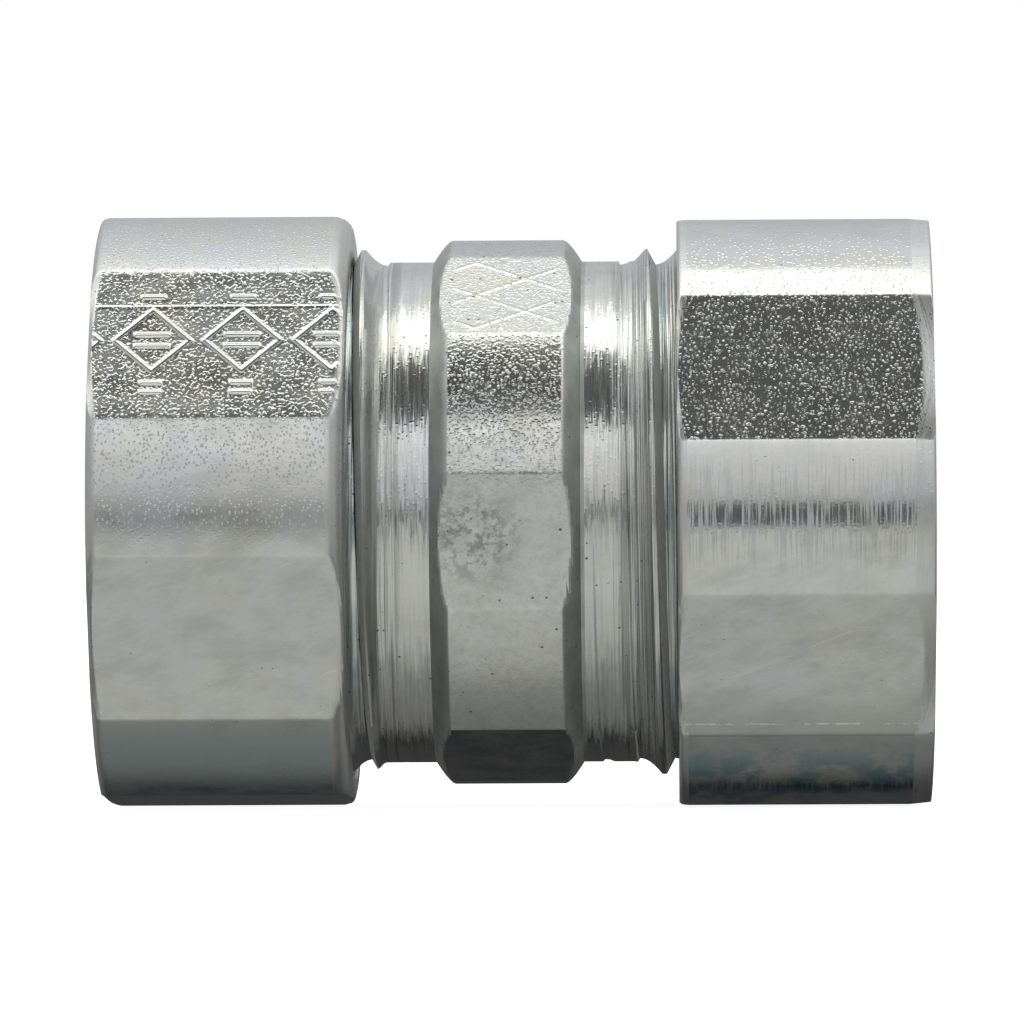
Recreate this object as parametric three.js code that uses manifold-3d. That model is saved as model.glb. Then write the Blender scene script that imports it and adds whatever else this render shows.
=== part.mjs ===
// A half-inch trade size compression coupling for thin-wall steel conduit (EMT).
// Millimetres. The conduit axis is X, +Z is up, and the origin is the middle of the coupling, in the
// middle of its conduit stop.
//
// Each end is described in its own end frame: the same X axis, but measured outwards from the middle.
// The left end is the right end turned half a turn about Z, so the screw threads stay right-handed.
import * as THREE from 'three';
import { mergeVertices } from 'three/addons/utils/BufferGeometryUtils.js';
import Module from 'manifold-3d';

// ---- driving dimensions ------------------------------------------------------------------------

// Screw thread of the body and the gland nuts: 15/16 inch, 16 threads to the inch, right-handed.
const PITCH = 25.4 / 16;
const BODY_CREST_R = 11.88;
const BODY_ROOT_R = 11.16;
const GROOVE_FLOOR = 0.22; // width of the flat floor of the body's thread groove
const FLANK = 0.38; // how far one flank reaches along the axis
const NUT_CREST_R = 11.4;
const NUT_ROOT_R = 12.07;
const THREAD_PLAY = 0.12; // along the axis, on each flank of the nut's ridge

// Coupling body.
const BLANK_R = 11.3; // plain cylinder beside the hexagon
const BODY_HALF = 12.8; // from the middle to the end face
const END_CHAMFER = 0.75;
const HEX_ACROSS = 23.8; // 15/16 inch across flats
const HEX_CORNER_R = 12.28; // the hexagon's corners are turned round
const HEX_HALF = 2.5; // from the middle to where the chamfer starts
const HEX_BASE_HALF = 3.33; // from the middle to where the chamfer meets the cylinder
const HEX_CLOCK = 6; // degrees, from +Y towards +Z, to the middle of the first flat
const GROOVE_FADE = [3.9, 4.9]; // the groove deepens over this stretch of the right end
const CREST_FADE = [5.6, 6.3]; // the crest rises over this stretch of both ends
const BORE_R = 9.1; // takes a conduit of 17.93 mm outside diameter
const STOP_R = 7.9; // the same as the inside of the conduit
const STOP_HALF = 1.0;
const POCKET_R = 10.45; // the pocket that the gland ring slides in
const POCKET_DEPTH = 2.8;
const CONE_ANGLE = 20; // degrees, from the axis to the wall of the cone that closes the ring

// Gland nut, with distances measured from its open face.
const NUT_CORNER_R = 13.6; // the corners are turned round
const NUT_LENGTH = 11.3;
const NUT_LIP = 1.6;
const NUT_THREAD_END = 7.4;
const NUT_BORE_R = 11.35;
const NUT_MOUTH_R = 11.55;
const NUT_HOLE_R = 9.2;

// Friction washer, sealing ring and gland ring, which lie in a row inside the nut.
const PLAY = 0.2; // between neighbours along the axis
const SOFT_R = 10.9; // outside radius of the washer and the sealing ring
const WASHER = 0.5;
const SEAL = 1.5;
const SEAL_R = 9.15;
const RING_LENGTH = 4.6;
const RING_R = 10.25;
const RING_NOSE_R = 9.7;
const RING_BORE_R = 9.2;
const RING_SLOT = 1.6;
const BITE_PITCH = 1.0;
const BITE_DEPTH = 0.15;

// The two ends differ in how far the nuts are screwed on, in how the nuts and threads are clocked, and
// a little in the nuts' bar size, which is nominally 1 1/32 inch (26.2 mm) across flats.
// nutFace is where the nut's open face stands, clock is the angle to the middle of the nut's first
// flat, threadStart is where the groove's middle crosses the angle 0, and slot is the ring's split.
const ENDS = [
  { name: 'left', turn: Math.PI, nutFace: 7.0, nutAcross: 26.0, clock: 35.2, threadStart: 0.37,
    slot: 40, mouthRound: 0.9, lipRound: 0.5 },
  { name: 'right', turn: 0, nutFace: 7.6, nutAcross: 26.2, clock: 31.2, threadStart: 0.0,
    slot: 130, mouthRound: 0.3, lipRound: 0.25 },
];

const STEPS = 36; // straight sides that stand for a full circle on plain round pieces
const ZINC = { color: 0xb9bcbb, roughness: 0.38, metalness: 0.9 };
const RING_STEEL = { color: 0x9a9c9a, roughness: 0.45, metalness: 0.9 };
const WASHER_STEEL = { color: 0xc6c8c6, roughness: 0.3, metalness: 0.95 };
const ELASTOMER = { color: 0x24262a, roughness: 0.85, metalness: 0.0 };

const wasm = await Module();
wasm.setup();

// ---- helpers -----------------------------------------------------------------------------------

const radians = THREE.MathUtils.degToRad;

// 0 before the stretch, 1 after it, and a smooth rise between.
function ramp(value, [start, end]) {
  return THREE.MathUtils.smoothstep(value, start, end);
}

function evenAngles(count) {
  return Array.from({ length: count }, (_, i) => (2 * Math.PI * i) / count);
}

// Angles for a hexagon with round corners: steps across each flat, then steps round each corner.
function hexagonAngles(clock, across, cornerR) {
  const halfFlat = Math.acos(across / 2 / cornerR);
  const halfCorner = Math.PI / 6 - halfFlat;
  const angles = [];
  for (let side = 0; side < 6; side++) {
    const middle = radians(clock) + (side * Math.PI) / 3;
    for (const share of [-1, -1 / 3, 1 / 3]) angles.push(middle + share * halfFlat);
    for (const share of [-1, -1 / 3, 1 / 3]) angles.push(middle + Math.PI / 6 + share * halfCorner);
  }
  return angles;
}

// Radius of a hexagon with round corners at an angle.
function hexagonRadius(angle, clock, across, cornerR) {
  const sixth = Math.PI / 3;
  const fromFlat = THREE.MathUtils.euclideanModulo(angle - radians(clock) + sixth / 2, sixth) - sixth / 2;
  return Math.min(across / 2 / Math.cos(fromFlat), cornerR);
}

// Sweeps a closed outline once round the X axis. outlineAt(angle) gives the outline there as
// [x, radius] points, always equally many, which run towards +X on the outside and back on the
// inside. The section may change on its way round, as a thread's does, as long as it is the same
// curve again after a full turn.
function sweepRound(outlineAt, angles) {
  const positions = [];
  const lastTurn = [...angles, angles[0] + 2 * Math.PI];
  const sections = lastTurn.map((angle, i) => {
    const direction = angles[i % angles.length];
    return outlineAt(angle).map(([x, r]) => [x, r * Math.cos(direction), r * Math.sin(direction)]);
  });
  const addTriangle = (a, b, c) => positions.push(...a, ...b, ...c);
  for (let i = 0; i < angles.length; i++) {
    const [here, next] = [sections[i], sections[i + 1]];
    for (let k = 0; k < here.length; k++) {
      const l = (k + 1) % here.length;
      addTriangle(here[k], next[l], here[l]);
      addTriangle(here[k], next[k], next[l]);
    }
  }
  const geometry = new THREE.BufferGeometry();
  geometry.setAttribute('position', new THREE.Float32BufferAttribute(positions, 3));
  return withoutSlivers(mergeVertices(geometry, 1e-4));
}

// Drops the triangles that have two corners in one place.
function withoutSlivers(geometry) {
  const index = geometry.index.array;
  const kept = [];
  for (let i = 0; i < index.length; i += 3) {
    const [a, b, c] = index.slice(i, i + 3);
    if (a !== b && b !== c && a !== c) kept.push(a, b, c);
  }
  geometry.setIndex(kept);
  return geometry;
}

// Cuts one closed geometry out of another.
function cut(geometry, tool) {
  const [whole, away] = [geometry, tool].map((source) => {
    const bare = source.clone();
    bare.deleteAttribute('normal');
    bare.deleteAttribute('uv');
    const merged = mergeVertices(bare, 1e-4);
    const vertProperties = merged.attributes.position.array;
    const triVerts = new Uint32Array(merged.index.array);
    return new wasm.Manifold(new wasm.Mesh({ numProp: 3, vertProperties, triVerts }));
  });
  const mesh = whole.subtract(away).getMesh();
  const result = new THREE.BufferGeometry();
  result.setAttribute('position', new THREE.BufferAttribute(mesh.vertProperties, 3));
  result.setIndex(new THREE.BufferAttribute(mesh.triVerts, 1));
  return result;
}

// Share of a thread's height at a station: 0 on the floor of a groove and 1 on the land between two.
function threadShare(station, grooveMiddle, halfFloor, flank) {
  const offset = THREE.MathUtils.euclideanModulo(station - grooveMiddle + PITCH / 2, PITCH) - PITCH / 2;
  return THREE.MathUtils.clamp((Math.abs(offset) - halfFloor) / flank, 0, 1);
}

// Points along one thread, in an end frame, from one station to another at an angle. A groove of
// the body has a floor and two flanks, and the nut's ridge follows the same line. Each point is
// [station, share of the thread's height]. Points beyond either station are moved onto it, so
// every angle has equally many.
function threadPoints(from, to, angle, threadStart, halfFloor, flank) {
  const offsets = [-halfFloor - flank, -halfFloor, halfFloor, halfFloor + flank];
  const start = threadStart + (PITCH * angle) / (2 * Math.PI);
  const first = Math.floor((from - threadStart) / PITCH) - 3;
  const turns = Math.ceil((to - from) / PITCH) + 6;
  const points = [];
  for (let turn = first; turn < first + turns; turn++) {
    for (const offset of offsets) {
      const station = THREE.MathUtils.clamp(start + turn * PITCH + offset, from, to);
      points.push([station, threadShare(station, start, halfFloor, flank)]);
    }
  }
  return points;
}

function makeMesh(name, geometry, finish) {
  const flat = geometry.toNonIndexed();
  flat.computeVertexNormals();
  const mesh = new THREE.Mesh(flat, new THREE.MeshStandardMaterial(finish));
  mesh.name = name;
  return mesh;
}

// ---- coupling body -----------------------------------------------------------------------------

// The threaded outside of one end of the body, from its end face inwards to the plain cylinder.
function bodyEndOutside(end, angle) {
  const points = threadPoints(GROOVE_FADE[0], BODY_HALF, angle, end.threadStart, GROOVE_FLOOR / 2, FLANK);
  const rows = points.map(([station, share]) => {
    const crest = THREE.MathUtils.lerp(BLANK_R, BODY_CREST_R, ramp(station, CREST_FADE));
    const grooveFade = end.name === 'right' ? GROOVE_FADE : CREST_FADE;
    const floor = THREE.MathUtils.lerp(BLANK_R, BODY_ROOT_R, ramp(station, grooveFade));
    const chamfer = BODY_CREST_R - END_CHAMFER + (BODY_HALF - station);
    return [station, Math.min(THREE.MathUtils.lerp(floor, crest, share), chamfer)];
  });
  rows.at(0)[1] = BLANK_R;
  return rows.reverse();
}

// The turned outside of the hexagon's chamfer, as [station, largest radius] from the middle out.
function hexagonChamfer() {
  const drop = HEX_CORNER_R - BLANK_R;
  const width = HEX_BASE_HALF - HEX_HALF;
  const shares = [0, 0.35, 0.7, 1];
  const steepening = 1.4;
  return shares.map((share) => [HEX_HALF + width * share, HEX_CORNER_R - drop * share ** steepening]);
}

// The bore of one end of the body, from its end face inwards to the conduit stop.
function bodyEndInside() {
  const coneLength = (POCKET_R - BORE_R) / Math.tan(radians(CONE_ANGLE));
  const coneStart = BODY_HALF - POCKET_DEPTH;
  const mouthChamfer = 0.15;
  return [
    [BODY_HALF, POCKET_R + mouthChamfer],
    [BODY_HALF - mouthChamfer, POCKET_R],
    [coneStart, POCKET_R],
    [coneStart - coneLength, BORE_R],
    [STOP_HALF, BORE_R],
    [STOP_HALF, STOP_R],
  ];
}

function bodyOutline(angle) {
  const [left, right] = ENDS;
  const flat = hexagonRadius(angle, HEX_CLOCK, HEX_ACROSS, HEX_CORNER_R);
  const hexagon = hexagonChamfer().map(([station, r]) => [station, Math.min(r, flat)]);
  const mirrored = (points) => points.map(([station, r]) => [-station, r]);
  return [
    ...mirrored(bodyEndOutside(left, Math.PI - angle)),
    ...mirrored(hexagon).reverse(),
    ...hexagon,
    ...bodyEndOutside(right, angle).reverse(),
    ...bodyEndInside(),
    ...mirrored(bodyEndInside()).reverse(),
  ];
}

function couplingBody() {
  const geometry = sweepRound(bodyOutline, hexagonAngles(HEX_CLOCK, HEX_ACROSS, HEX_CORNER_R));
  return makeMesh('coupling_body', geometry, ZINC);
}

// ---- pieces of one end, in the end frame -------------------------------------------------------

// A quarter round on an outside edge, as [distance in from the face, drop below the full radius].
function edgeRound(size) {
  return [0, 0.5, 1].map((share) => {
    const turn = (share * Math.PI) / 2;
    return [size * (1 - Math.sin(turn)), size * (1 - Math.cos(turn))];
  });
}

function nutOutline(end, angle) {
  const outer = end.nutFace + NUT_LENGTH;
  const flat = hexagonRadius(angle, end.clock, end.nutAcross, NUT_CORNER_R);
  const turned = (station, drop) => [station, Math.min(NUT_CORNER_R - drop, flat)];
  const mouthEdge = edgeRound(end.mouthRound).map(([inset, drop]) => turned(end.nutFace + inset, drop));
  const lipEdge = edgeRound(end.lipRound).map(([inset, drop]) => turned(outer - inset, drop));

  const ridge = GROOVE_FLOOR / 2 + ((NUT_CREST_R - BODY_ROOT_R) * FLANK) / (BODY_CREST_R - BODY_ROOT_R);
  const nutFlank = (FLANK * (NUT_ROOT_R - NUT_CREST_R)) / (BODY_CREST_R - BODY_ROOT_R);
  const threadEnd = end.nutFace + NUT_THREAD_END;
  const thread = threadPoints(end.nutFace, threadEnd, angle, end.threadStart, ridge - THREAD_PLAY, nutFlank);
  const inside = thread.map(([station, share]) => {
    const chamfer = NUT_MOUTH_R - (station - end.nutFace);
    return [station, Math.max(THREE.MathUtils.lerp(NUT_CREST_R, NUT_ROOT_R, share), chamfer)];
  });
  inside.forEach((point) => {
    if (point[0] === threadEnd) point[1] = NUT_BORE_R;
  });
  return [
    ...mouthEdge.reverse(),
    ...lipEdge,
    [outer, NUT_HOLE_R],
    [outer - NUT_LIP, NUT_HOLE_R],
    [outer - NUT_LIP, NUT_BORE_R],
    ...inside.reverse(),
  ];
}

function glandNut(end) {
  const angles = hexagonAngles(end.clock, end.nutAcross, NUT_CORNER_R);
  const geometry = sweepRound((angle) => nutOutline(end, angle), angles);
  return makeMesh(`${end.name}_gland_nut`, geometry, ZINC);
}

function frictionWasher(end, inner) {
  const outline = [
    [inner, NUT_HOLE_R],
    [inner, SOFT_R],
    [inner + WASHER, SOFT_R],
    [inner + WASHER, NUT_HOLE_R],
  ];
  return makeMesh(`${end.name}_friction_washer`, sweepRound(() => outline, evenAngles(STEPS)), WASHER_STEEL);
}

// The sealing ring has bevelled edges, so that it can bulge when it is squeezed.
function sealingRing(end, inner) {
  const bevel = 0.3;
  const outer = inner + SEAL;
  const outline = [
    [inner, SEAL_R + bevel],
    [inner, SOFT_R - bevel],
    [inner + bevel, SOFT_R],
    [outer - bevel, SOFT_R],
    [outer, SOFT_R - bevel],
    [outer, SEAL_R + bevel],
    [outer - bevel, SEAL_R],
    [inner + bevel, SEAL_R],
  ];
  return makeMesh(`${end.name}_sealing_ring`, sweepRound(() => outline, evenAngles(STEPS)), ELASTOMER);
}

// The gland ring is split, tapers at both ends, and has bite grooves round its bore.
function glandRing(end, inner) {
  const outer = inner + RING_LENGTH;
  const taper = (RING_R - RING_NOSE_R) / Math.tan(radians(CONE_ANGLE));
  const bites = [1, 0, -1].flatMap((place) => {
    const middle = inner + RING_LENGTH / 2 + place * BITE_PITCH;
    return [
      [middle + BITE_PITCH / 3, RING_BORE_R],
      [middle, RING_BORE_R + BITE_DEPTH],
      [middle - BITE_PITCH / 3, RING_BORE_R],
    ];
  });
  const outline = [
    [inner, RING_BORE_R],
    [inner, RING_NOSE_R],
    [inner + taper, RING_R],
    [outer - taper, RING_R],
    [outer, RING_NOSE_R],
    [outer, RING_BORE_R],
    ...bites,
  ];
  const split = new THREE.BoxGeometry(3 * RING_LENGTH, 2 * RING_R, RING_SLOT);
  split.translate(inner, RING_R, 0);
  split.rotateX(radians(end.slot));
  const geometry = cut(sweepRound(() => outline, evenAngles(STEPS)), split);
  return makeMesh(`${end.name}_gland_ring`, geometry, RING_STEEL);
}

// The nut of one end and what it holds, in a row from the nut's lip inwards.
function glandEnd(end) {
  const shoulder = end.nutFace + NUT_LENGTH - NUT_LIP;
  const washerInner = shoulder - PLAY - WASHER;
  const sealInner = washerInner - PLAY - SEAL;
  const ringInner = sealInner - PLAY - RING_LENGTH;
  const assembly = new THREE.Group();
  assembly.add(glandNut(end));
  assembly.add(frictionWasher(end, washerInner));
  assembly.add(sealingRing(end, sealInner));
  assembly.add(glandRing(end, ringInner));
  assembly.rotation.z = end.turn;
  return assembly;
}

// ---- assembly ----------------------------------------------------------------------------------

const group = new THREE.Group();
group.add(couplingBody());
ENDS.forEach((end) => group.add(glandEnd(end)));

export default group;
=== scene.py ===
# The looks of a half-inch trade size compression coupling for thin-wall steel conduit: a threaded body with a
# hexagon middle, and at each end a gland nut that holds a washer, a sealing ring and a split gland ring.
#
# Shapes are worked out in millimetres and turned into metres where a mesh is made. The conduit axis is X and
# +Z is up. Angles round the axis run from +Y towards +Z. Each end is described in its own end frame, which is
# measured outwards from the middle: the left end is the right end turned half a turn about Z.
import math

import bpy
import numpy as np
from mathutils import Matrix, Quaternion, Vector


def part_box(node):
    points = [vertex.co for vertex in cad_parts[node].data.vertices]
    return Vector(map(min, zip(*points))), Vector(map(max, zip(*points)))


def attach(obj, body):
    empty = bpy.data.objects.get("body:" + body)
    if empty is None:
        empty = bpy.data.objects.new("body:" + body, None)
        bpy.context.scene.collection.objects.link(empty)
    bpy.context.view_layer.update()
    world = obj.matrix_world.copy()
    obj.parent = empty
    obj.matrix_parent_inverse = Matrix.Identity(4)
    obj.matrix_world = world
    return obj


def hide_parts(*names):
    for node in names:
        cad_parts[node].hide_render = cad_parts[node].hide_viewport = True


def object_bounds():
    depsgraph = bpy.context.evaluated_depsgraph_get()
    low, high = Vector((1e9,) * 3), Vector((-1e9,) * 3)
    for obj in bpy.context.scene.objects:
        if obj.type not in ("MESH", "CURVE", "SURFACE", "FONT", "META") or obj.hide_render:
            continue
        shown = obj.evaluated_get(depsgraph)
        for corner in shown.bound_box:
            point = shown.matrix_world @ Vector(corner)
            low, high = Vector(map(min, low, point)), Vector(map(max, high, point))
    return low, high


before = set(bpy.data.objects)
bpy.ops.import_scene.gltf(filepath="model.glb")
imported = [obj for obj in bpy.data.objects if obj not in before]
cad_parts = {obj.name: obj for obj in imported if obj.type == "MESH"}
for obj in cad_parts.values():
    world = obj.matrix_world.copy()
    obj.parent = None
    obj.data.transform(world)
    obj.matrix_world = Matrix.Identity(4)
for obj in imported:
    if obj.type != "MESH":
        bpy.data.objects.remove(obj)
CAD_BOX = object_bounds()

# ---- driving dimensions, in millimetres ------------------------------------------------------------

MM = 0.001

# Screw thread, 16 to the inch. Where it runs out towards the hexagon, the groove's outer flank is long and
# hollow, and starts at once from the foot of the inner flank.
PITCH = 25.4 / 16
BODY_CREST_R = 11.88
BODY_ROOT_R = 11.16
GROOVE_FLOOR = 0.22
FLANK = 0.38
RUN_OUT_FLANK = 0.95
RUN_OUT_FOOT = -0.05
RUN_OUT_END = (7.4, 8.6)
NUT_CREST_R = 11.4
NUT_ROOT_R = 12.07
THREAD_PLAY = 0.12

# Coupling body.
BLANK_R = 11.3
BODY_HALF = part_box("coupling_body")[1].x / MM
END_CHAMFER = 0.75
HEX_ACROSS = 23.8
HEX_CORNER_R = 12.28
HEX_HALF = 2.5
HEX_BASE_HALF = 3.33
HEX_CLOCK = 6
THREAD_LOW = 3.5
CREST_FADE = (5.6, 6.3)
BORE_R = 9.1
STOP_R = 7.9
STOP_HALF = 1.0
POCKET_R = 10.45
POCKET_DEPTH = 2.8
CONE_ANGLE = math.radians(20)

# Gland nuts.
NUT_CORNER_R = 13.6
NUT_LIP = 1.6
NUT_THREAD_END = 7.4
NUT_BORE_R = 11.35
NUT_MOUTH_R = 11.55
NUT_HOLE_R = 9.2

# What a nut holds.
SOFT_R = 10.9
SEAL_R = 9.15
RING_R = 10.25
RING_NOSE_R = 9.7
RING_BORE_R = 9.2
RING_SLOT = 1.6
BITE_PITCH = 1.0
BITE_DEPTH = 0.15

# Each end: how its nut's hexagon and thread are clocked, in degrees and millimetres, and how the nut's two
# turned edges are rounded, as (along the axis, towards the axis). The flats taper off over a short stretch
# before each edge, which is longer at the corners than in the middle of a flat.
ENDS = {
    "left": dict(across=26.0, clock=35.2, thread_start=0.37, groove_fade=(4.75, 5.5), slot=40,
                 marked_side=0, mouth=(0.8, 1.1), lip=(0.5, 0.55), mouth_taper=(0.22, 0.68),
                 lip_taper=(0.16, 0.5)),
    "right": dict(across=26.2, clock=31.2, thread_start=0.0, groove_fade=(3.6, 4.7), slot=130,
                  marked_side=None, mouth=(0.3, 0.35), lip=(0.28, 0.28), mouth_taper=(0.03, 0.42),
                  lip_taper=(0.55, 1.0)),
}
MOUTH_TAPER_DROP = 0.09
LIP_TAPER_DROP = 0.17

# The tapers are shallower at the corners by this share.
CORNER_TAPER_EASE = 0.45

# How softly faces round into each other, and how far in from a flat face's edges its close rows are.
EDGE_SOFTNESS = 0.02
CORNER_SOFTNESS = 0.03
NUT_RIM = 0.06

# Distance between mesh rows on a nut's plain flats, and where there are raised marks.
PLAIN_STEP = 0.12
MARK_STEP = 0.055

# Raised marks, which are plain patterns: on one nut a row of lozenges with a low seam above their middles,
# and a lattice on one side of the body's hexagon.
LOZENGE_PITCH = 3.96
LOZENGE_HALF = 1.66
LOZENGE_LINE = 0.17
LOZENGE_RAISE = 0.055
SEAM_PLACE = 2.0
SEAM_LINE = 0.09
SEAM_SHARE = 0.35
LATTICE_PITCH = 2.2
LATTICE_LINE = 0.1
LATTICE_RAISE = 0.03
LATTICE_HALF = 2.75
HEX_MARKED_SIDE = 2

# Places of the finishes in the lists that the body and the nuts are given.
BODY_TURNED, BODY_FLATS, BODY_BORE, BODY_CHAMFER, BODY_CORNERS, BODY_FLANK = range(6)
NUT_TURNED, NUT_FLATS, NUT_CORNERS, NUT_MARKS = range(4)

# ---- numbers along and round a piece ---------------------------------------------------------------


def smooth_step(value, low, high):
    share = np.clip((value - low) / (high - low), 0, 1)
    return share * share * (3 - 2 * share)


def blend(a, b, share):
    return a + (b - a) * share


def soft_minimum(a, b, width):
    """The smaller of two values, with the change from one to the other rounded off."""
    closeness = np.maximum(width - np.abs(a - b), 0) / width
    return np.minimum(a, b) - closeness * closeness * width / 4


def wrapped(angle):
    """An angle brought to within half a turn of 0."""
    return (angle + math.pi) % (2 * math.pi) - math.pi


def from_flat(angle, clock):
    """Angle from the middle of the nearest flat of a hexagon."""
    sixth = math.pi / 3
    return (angle - math.radians(clock) + sixth / 2) % sixth - sixth / 2


def hexagon_radius(angle, clock, across, corner_r):
    flats = across / 2 / np.cos(from_flat(angle, clock))
    return soft_minimum(flats, corner_r, CORNER_SOFTNESS)


def hexagon_columns(clock, across, corner_r, marked_side=None):
    """Angles for a sweep, close together at the edges of the flats and on a marked flat."""
    half_flat = math.degrees(math.acos(across / 2 / corner_r))
    flat_width = across * math.tan(math.radians(half_flat))
    edge = [-0.8, -0.3, 0, 0.3, 0.8]
    plain_steps = 10
    corner_steps = 13
    columns = []
    for side in range(6):
        steps = round(flat_width / MARK_STEP) if side == marked_side else plain_steps
        flat = np.linspace(-half_flat, half_flat, steps + 1)[1:-1]
        corner = np.linspace(half_flat, 60 - half_flat, corner_steps + 1)[1:-1]
        edges = [end + offset for end in (-half_flat, half_flat) for offset in edge]
        inside = flat[np.abs(flat) < half_flat - 1.0]
        columns += [clock + 60 * side + value for value in sorted([*inside, *corner, *edges])]
    return np.radians(columns)


def even_columns(count):
    return np.arange(count) * 2 * math.pi / count


# ---- meshes ----------------------------------------------------------------------------------------

SHARP_EDGE = math.radians(40)
RING_SHARP_EDGE = math.radians(35)


def scene_object(name, data):
    made = bpy.data.objects.new(name, data)
    bpy.context.scene.collection.objects.link(made)
    return made


def swept_mesh(name, columns, outline, finishes, half_turn=False):
    """A closed outline swept once round the axis. outline(angle) gives stations, radii and the number of the
    finish for every angle and every point. The last column is the first one a full turn on, where a thread
    has moved along by one pitch."""
    turned = np.append(columns, columns[0] + 2 * math.pi)[:, None]
    direction = np.append(columns, columns[0])[:, None]
    station, radius, finish = np.broadcast_arrays(*outline(turned))
    y = radius * np.cos(direction)
    z = radius * np.sin(direction)
    points = np.stack([station, y, z], axis=-1)
    if half_turn:
        points = points * np.array([-1, -1, 1])
    rows = points.shape[1]
    here = np.arange(len(columns))[:, None] * rows + np.arange(rows)[None, :]
    after = np.arange(len(columns))[:, None] * rows + (np.arange(rows)[None, :] + 1) % rows
    triangles = np.concatenate([
        np.stack([here, here + rows, after + rows], axis=-1).reshape(-1, 3),
        np.stack([here, after + rows, after], axis=-1).reshape(-1, 3),
    ])
    labels = np.tile(np.broadcast_to(finish, radius.shape)[:-1].ravel(), 2)
    return mesh_object(name, points.reshape(-1, 3), triangles, labels, finishes)


def mesh_object(name, points, triangles, labels, finishes):
    """Joins points that are in one place, drops faces without area, and makes the object, in metres."""
    smallest = 1e-5
    keys = np.round(points / smallest).astype(np.int64)
    _, first, joined = np.unique(keys, axis=0, return_index=True, return_inverse=True)
    triangles = joined.ravel()[triangles]
    a, b, c = triangles.T
    whole = (a != b) & (b != c) & (a != c)
    mesh = bpy.data.meshes.new(name)
    mesh.from_pydata((points[first] * MM).tolist(), [], triangles[whole].tolist())
    for finish in finishes:
        mesh.materials.append(finish)
    mesh.polygons.foreach_set("material_index", labels[whole].astype(np.int32))
    mesh.shade_smooth()
    mesh.set_sharp_from_angle(angle=SHARP_EDGE)
    mesh.update()
    return scene_object(name, mesh)


def stand_in(piece, node, body):
    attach(piece, body)
    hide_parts(node)


# ---- screw thread ----------------------------------------------------------------------------------


def thread_rows(low, high, angle, thread_start, half_floor, flank, runs_out=False):
    """Stations and shares of a thread between two stations, in an end frame, and whether each point is on a
    groove's inner flank. A share is 0 on the groove's floor and 1 on the land. Stations beyond either end are
    moved onto it."""
    first = math.floor((low - thread_start) / PITCH) - 3
    turns = math.ceil((high - low) / PITCH) + 6
    starts = thread_start + (first + np.arange(turns)) * PITCH
    middle = (starts + PITCH * angle / (2 * math.pi))[:, :, None]
    run_out = 1 - smooth_step(middle, *RUN_OUT_END) if runs_out else 0 * middle
    foot = blend(half_floor, RUN_OUT_FOOT, run_out)
    outer_flank = blend(flank, RUN_OUT_FLANK, run_out)

    steps = np.linspace(0, 1, 6)
    inner_side = middle - half_floor - flank * steps[::-1]
    outer_side = middle + foot + outer_flank * steps
    land = (outer_side[:, :, -1:] + middle + PITCH - half_floor - flank) / 2
    station = np.clip(np.concatenate([inner_side, outer_side, land], axis=2), low, high)

    reach = half_floor + flank
    offset = (station - middle + reach) % PITCH - reach
    inner_rise = np.clip((-offset - half_floor) / flank, 0, 1)
    outer_rise = np.clip((offset - foot) / outer_flank, 0, 1) ** (outer_flank / flank) ** 0.6
    share = np.maximum(inner_rise, outer_rise)
    on_flank = (inner_rise > 0.02) & (inner_rise < 0.98)
    count = len(angle)
    return station.reshape(count, -1), share.reshape(count, -1), on_flank.reshape(count, -1)


# ---- coupling body ---------------------------------------------------------------------------------


def body_end_outside(side, angle):
    """The outside of one end from the plain cylinder out to the end face. The groove is cut into a blank that
    grows from the plain cylinder to the thread's full size, and gets shallower where it runs out."""
    end = ENDS[side]
    station, share, on_flank = thread_rows(
        THREAD_LOW, BODY_HALF, angle, end["thread_start"], GROOVE_FLOOR / 2, FLANK, runs_out=True
    )
    blank = blend(BLANK_R, BODY_CREST_R, smooth_step(station, *CREST_FADE))
    lift = (BLANK_R - BODY_ROOT_R) * (1 - smooth_step(station, *end["groove_fade"]))
    groove = blend(BODY_ROOT_R, BODY_CREST_R, share) + lift
    chamfer = BODY_CREST_R - END_CHAMFER + (BODY_HALF - station)
    radius = np.minimum(soft_minimum(blank, groove, EDGE_SOFTNESS), chamfer)
    radius[:, 0] = BLANK_R
    return station, radius, np.where(on_flank & (groove < blank), BODY_FLANK, BODY_TURNED)


def body_inside():
    """The bore from one end face to the conduit stop, as stations and radii."""
    cone_length = (POCKET_R - BORE_R) / math.tan(CONE_ANGLE)
    cone_start = BODY_HALF - POCKET_DEPTH
    mouth = 0.15
    round_off = 0.25
    rows = [
        (BODY_HALF, POCKET_R + mouth),
        (BODY_HALF - mouth, POCKET_R),
        (cone_start, POCKET_R),
        (cone_start - cone_length, BORE_R),
        (STOP_HALF, BORE_R),
        (STOP_HALF, STOP_R + round_off),
        (STOP_HALF - 0.1, STOP_R + 0.07),
        (STOP_HALF - round_off, STOP_R),
    ]
    return np.array(rows).T


def line_raise(off_line, width):
    """1 along a thin rounded ridge, falling to 0 at its sides."""
    return 0.5 + 0.5 * np.cos(math.pi * np.clip(off_line / width, 0, 1))


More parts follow.
